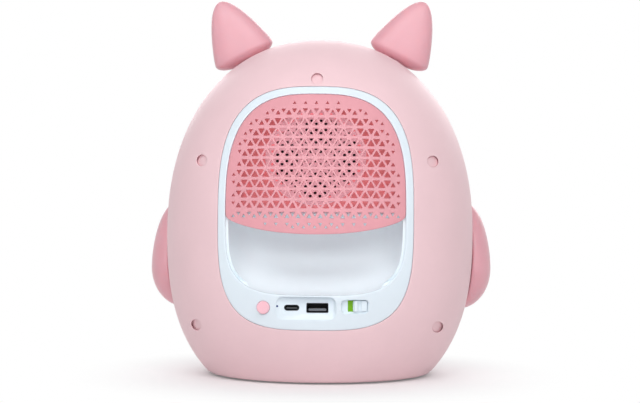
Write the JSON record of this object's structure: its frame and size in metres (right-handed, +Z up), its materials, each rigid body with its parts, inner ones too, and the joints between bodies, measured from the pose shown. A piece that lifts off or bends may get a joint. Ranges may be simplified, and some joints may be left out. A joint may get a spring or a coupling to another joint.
{
  "type": "portable speaker",
  "caption": "Egg-shaped portable speaker with ears and flippers, a hand hold under a perforated grille, ports, a power switch and buttons.",
  "frame": {"origin": "middle of the bounding box's underside, on the surface that the feet stand on", "axes": "+Z up, +Y out of the front with the control buttons, so the back with the ports and the hand hold faces -Y; +X to the right seen from the back"},
  "size_m": [0.2288, 0.184, 0.2483],
  "materials": {
    "shell_pink": "light pink moulded ABS, fine matt texture",
    "ear_pink": "darker pink soft-touch plastic",
    "grille_pink": "darker pink moulded plastic, matt",
    "baffle_pink": "pink moulded plastic behind the grille",
    "panel_white": "white moulded plastic, satin",
    "knob_white": "white moulded plastic, satin",
    "key_pink": "pink moulded plastic, satin",
    "mark_green": "green inlay under the knob",
    "foot_rubber": "pale grey rubber pads",
    "screw_steel": "zinc plated steel",
    "basket_black": "black painted pressed steel",
    "magnet_grey": "grey ferrite",
    "motor_steel": "plated steel",
    "surround_rubber": "black rubber and foam",
    "spider_cloth": "resin cloth",
    "cone_black": "black polypropylene",
    "coil_copper": "copper wire on a former",
    "board_green": "green solder mask",
    "port_black": "black moulded plastic",
    "light_blue": "clear light pipe over a blue light",
    "shield_steel": "tinned shield can on a module board",
    "socket_cream": "cream sockets, capacitors and coil",
    "cell_wrap": "plain blue shrink wrap",
    "tray_grey": "grey moulded plastic and strap",
    "lead_red": "red insulated lead",
    "lead_black": "black insulated leads",
    "lead_white": "white insulated leads"
  },
  "bodies": {
    "case": {"rear_shell": "shell_pink", "front_shell": "shell_pink", "rubber_feet": "foot_rubber", "case_screws": "screw_steel", "screw_plugs": "shell_pink", "rear_panel": "panel_white", "rear_grille": "grille_pink", "rear_baffle": "baffle_pink", "rear_driver_guard": "baffle_pink", "panel_screws": "screw_steel", "front_panel": "panel_white", "front_grille": "grille_pink", "ear_left": "ear_pink", "ear_right": "ear_pink", "ear_screws": "screw_steel", "flipper_left": "ear_pink", "flipper_right": "ear_pink", "flipper_screws": "screw_steel", "rear_driver_basket": "basket_black", "rear_driver_magnet": "magnet_grey", "rear_driver_yoke": "motor_steel", "rear_driver_surround": "surround_rubber", "rear_driver_spider": "spider_cloth", "front_driver_basket": "basket_black", "front_driver_magnet": "magnet_grey", "front_driver_yoke": "motor_steel", "front_driver_surround": "surround_rubber", "front_driver_spider": "spider_cloth", "driver_gaskets": "surround_rubber", "driver_screws": "screw_steel", "slide_switch": "screw_steel", "switch_mark": "mark_green", "switch_board": "board_green", "key_board": "board_green", "tact_switches": "port_black", "port_board": "board_green", "usb_c_port": "port_black", "usb_a_port": "port_black", "status_light": "light_blue", "main_board": "board_green", "bluetooth_module": "shield_steel", "amplifier_chip": "port_black", "board_parts": "socket_cream", "board_screws": "screw_steel", "battery_cells": "cell_wrap", "battery_tray": "tray_grey", "battery_strap": "tray_grey", "battery_lead": "lead_red", "speaker_leads": "lead_black", "control_leads": "lead_white"},
    "rear_key": {"rear_button": "key_pink"},
    "switch_knob": {"power_knob": "knob_white"},
    "play_key": {"play_button": "key_pink"},
    "volume_down_key": {"volume_down_button": "key_pink"},
    "volume_up_key": {"volume_up_button": "key_pink"},
    "mode_key": {"mode_button": "key_pink"},
    "rear_cone": {"rear_driver_cone": "cone_black", "rear_voice_coil": "coil_copper"},
    "front_cone": {"front_driver_cone": "cone_black", "front_voice_coil": "coil_copper"}
  },
  "joints": [
    {"name": "rear_button_press", "type": "slide", "parent": "case", "child": "rear_key", "axis": [0, 1, 0], "range_m": [0, 0.0008], "stiffness_N_per_m": 400, "springref_m": -0.0005},
    {"name": "power_switch_slide", "type": "slide", "parent": "case", "child": "switch_knob", "axis": [-0.9727, -0.2321, 0], "range_m": [0, 0.0035]},
    {"name": "play_press", "type": "slide", "parent": "case", "child": "play_key", "axis": [0, -1, 0], "range_m": [0, 0.0008], "stiffness_N_per_m": 400, "springref_m": -0.0005},
    {"name": "volume_down_press", "type": "slide", "parent": "case", "child": "volume_down_key", "axis": [0, -1, 0], "range_m": [0, 0.0008], "stiffness_N_per_m": 400, "springref_m": -0.0005},
    {"name": "volume_up_press", "type": "slide", "parent": "case", "child": "volume_up_key", "axis": [0, -1, 0], "range_m": [0, 0.0008], "stiffness_N_per_m": 400, "springref_m": -0.0005},
    {"name": "mode_press", "type": "slide", "parent": "case", "child": "mode_key", "axis": [0, -1, 0], "range_m": [0, 0.0008], "stiffness_N_per_m": 400, "springref_m": -0.0005},
    {"name": "rear_cone_travel", "type": "slide", "parent": "case", "child": "rear_cone", "axis": [0, -0.9511, 0.309], "range_m": [-0.001, 0.001], "stiffness_N_per_m": 1500},
    {"name": "front_cone_travel", "type": "slide", "parent": "case", "child": "front_cone", "axis": [0, 1, 0], "range_m": [-0.001, 0.001], "stiffness_N_per_m": 1500}
  ]
}
